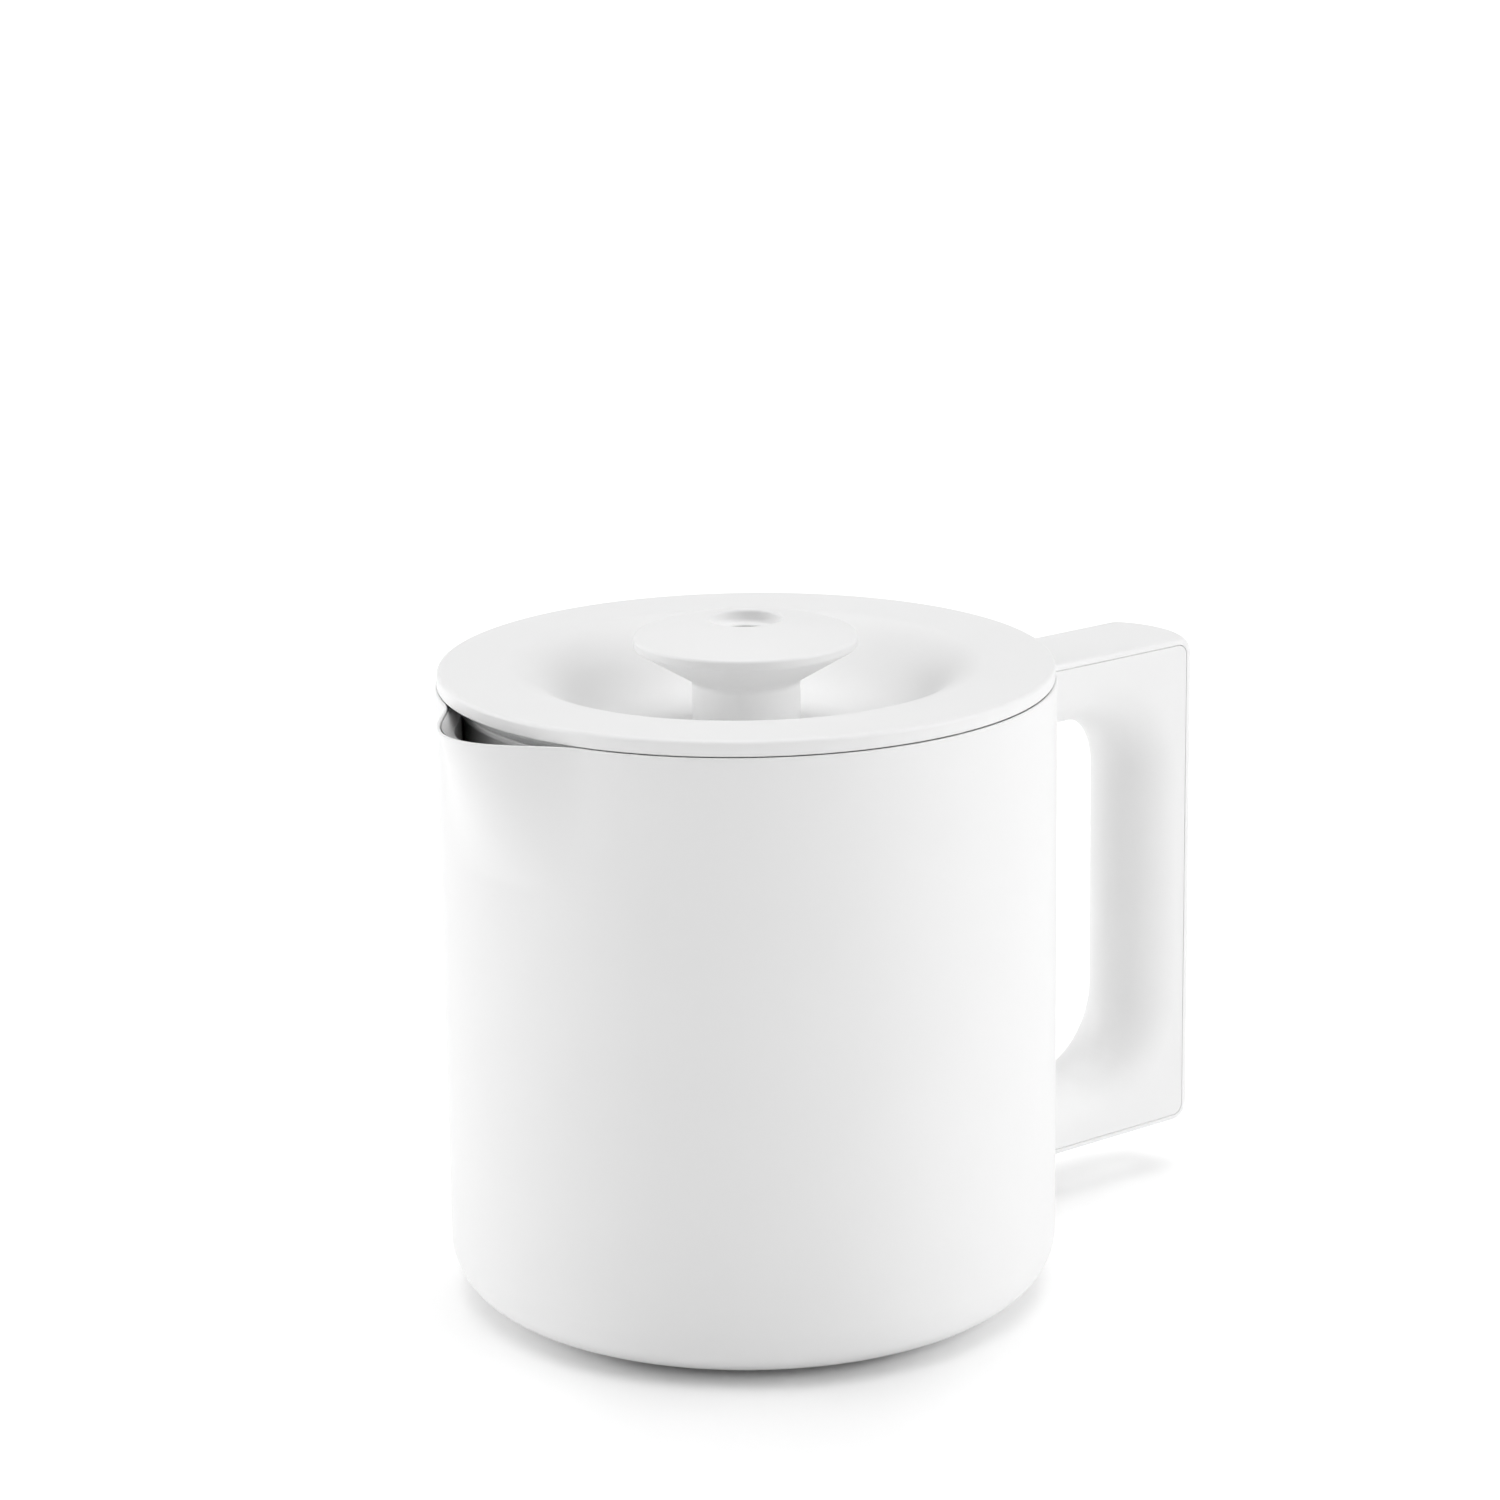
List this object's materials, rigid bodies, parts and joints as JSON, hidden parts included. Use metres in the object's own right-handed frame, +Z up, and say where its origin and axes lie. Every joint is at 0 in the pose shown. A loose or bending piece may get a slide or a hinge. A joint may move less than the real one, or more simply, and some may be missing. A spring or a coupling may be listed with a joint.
{
  "type": "thermal carafe",
  "caption": "Double-walled white thermal carafe with a pouring beak, a D-shaped handle and a lift-off brew-through lid with a domed knob and a gravity valve.",
  "frame": {"origin": "centre of the base pad, on the table", "axes": "+Z up along the axis of the body, +X towards the handle, -X towards the pouring beak"},
  "size_m": [0.2115, 0.14, 0.1577],
  "materials": {
    "white_paint": "satin white baked paint on steel",
    "steel": "brushed stainless steel",
    "solder": "dull solder",
    "getter_alloy": "dull sintered metal",
    "dark_silicone": "matt dark silicone",
    "white_plastic": "satin white moulded plastic",
    "grey_silicone": "soft pale grey silicone",
    "grey_plastic": "matt pale grey plastic"
  },
  "bodies": {
    "carafe": {"outer_shell": "white_paint", "inner_vessel": "steel", "base_plate": "steel", "vacuum_seal": "solder", "getter": "getter_alloy", "base_pad": "dark_silicone", "handle_grip": "white_plastic", "handle_cover": "white_plastic", "upper_handle_bracket": "steel", "lower_handle_bracket": "steel", "upper_handle_screw": "steel", "lower_handle_screw": "steel"},
    "lid": {"lid_top": "white_plastic", "lid_knob": "white_plastic", "lid_plug": "white_plastic", "lid_seal": "grey_silicone", "valve_cage": "grey_plastic"},
    "valve": {"brew_valve": "grey_plastic"}
  },
  "joints": [
    {"name": "lid_lift", "type": "slide", "parent": "carafe", "child": "lid", "axis": [0, 0, 1], "range_m": [0, 0.06]},
    {"name": "valve_slide", "type": "slide", "parent": "lid", "child": "valve", "axis": [0, 0, 1], "range_m": [0, 0.0064]}
  ]
}
